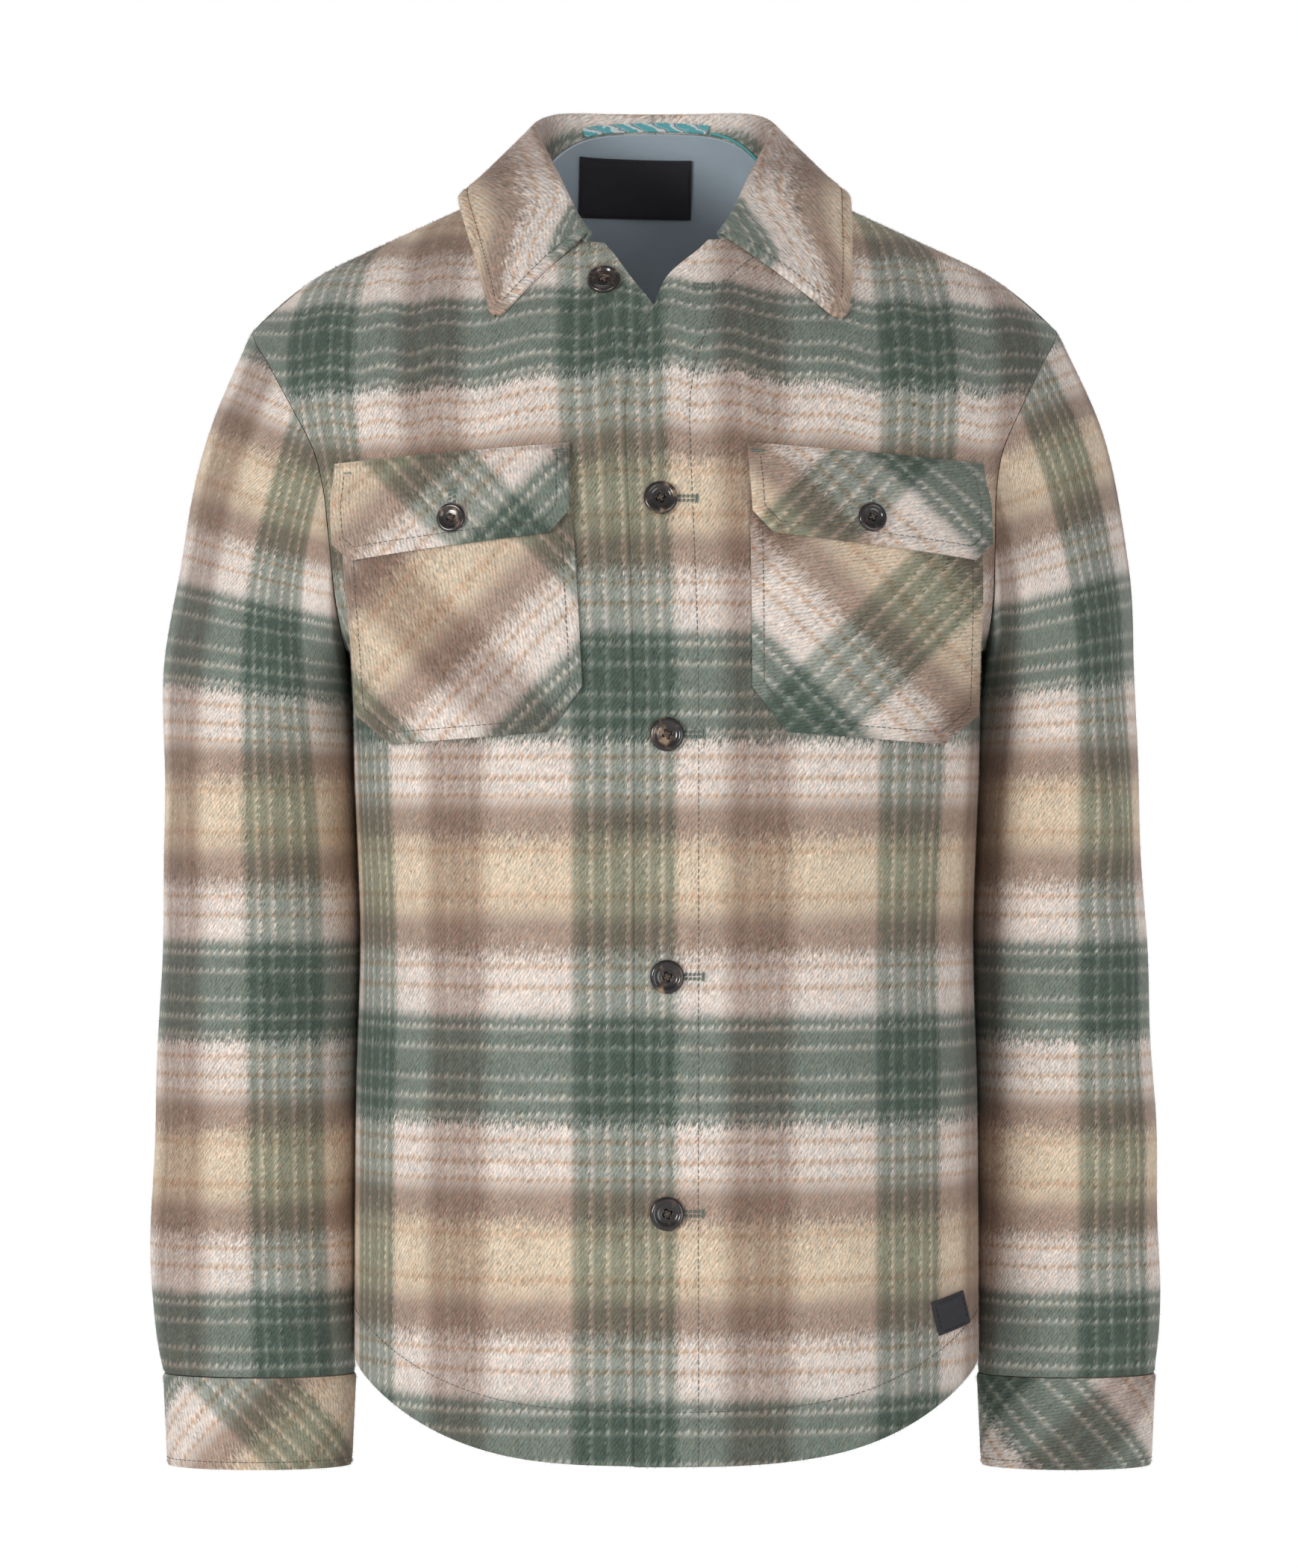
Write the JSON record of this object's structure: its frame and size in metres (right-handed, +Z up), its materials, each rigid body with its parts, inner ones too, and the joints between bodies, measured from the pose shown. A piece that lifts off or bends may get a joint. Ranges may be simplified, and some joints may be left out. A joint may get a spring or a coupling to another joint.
{
  "type": "shacket",
  "caption": "Long-sleeved overshirt in brushed wool check, filled out as worn, collar open, with flapped chest pockets and a curved hem.",
  "frame": {"origin": "between the two neck-side shoulder points, where the wearer's neck and shoulders hold the garment", "axes": "+Z up along the body, -Y out of the garment's front, +X towards the wearer's left sleeve"},
  "size_m": [0.5913, 0.2852, 0.8021],
  "materials": {
    "wool_check": "brushed wool check, matte with a short nap",
    "bias_check": "the same brushed wool check cut on the bias",
    "lining": "grey-blue lining with a soft sheen",
    "black_label": "bare black woven label",
    "neck_tape": "narrow woven tape in teal, white and grey",
    "button": "dark horn-look resin, polished"
  },
  "bodies": {
    "root": {"front_left": "wool_check", "front_right": "wool_check", "back": "wool_check", "sleeve_left": "wool_check", "sleeve_right": "wool_check", "collar": "bias_check", "cuff_left": "bias_check", "cuff_right": "bias_check", "pocket_left": "bias_check", "pocket_right": "bias_check", "flap_left": "bias_check", "flap_right": "bias_check", "lining_back": "lining", "neck_label": "black_label", "hem_label": "black_label", "hanger_tape": "neck_tape", "button_1": "button", "button_2": "button", "button_3": "button", "button_4": "button", "button_5": "button", "flap_button_left": "button", "flap_button_right": "button", "cuff_button_left": "button", "cuff_button_right": "button"}
  },
  "joints": []
}
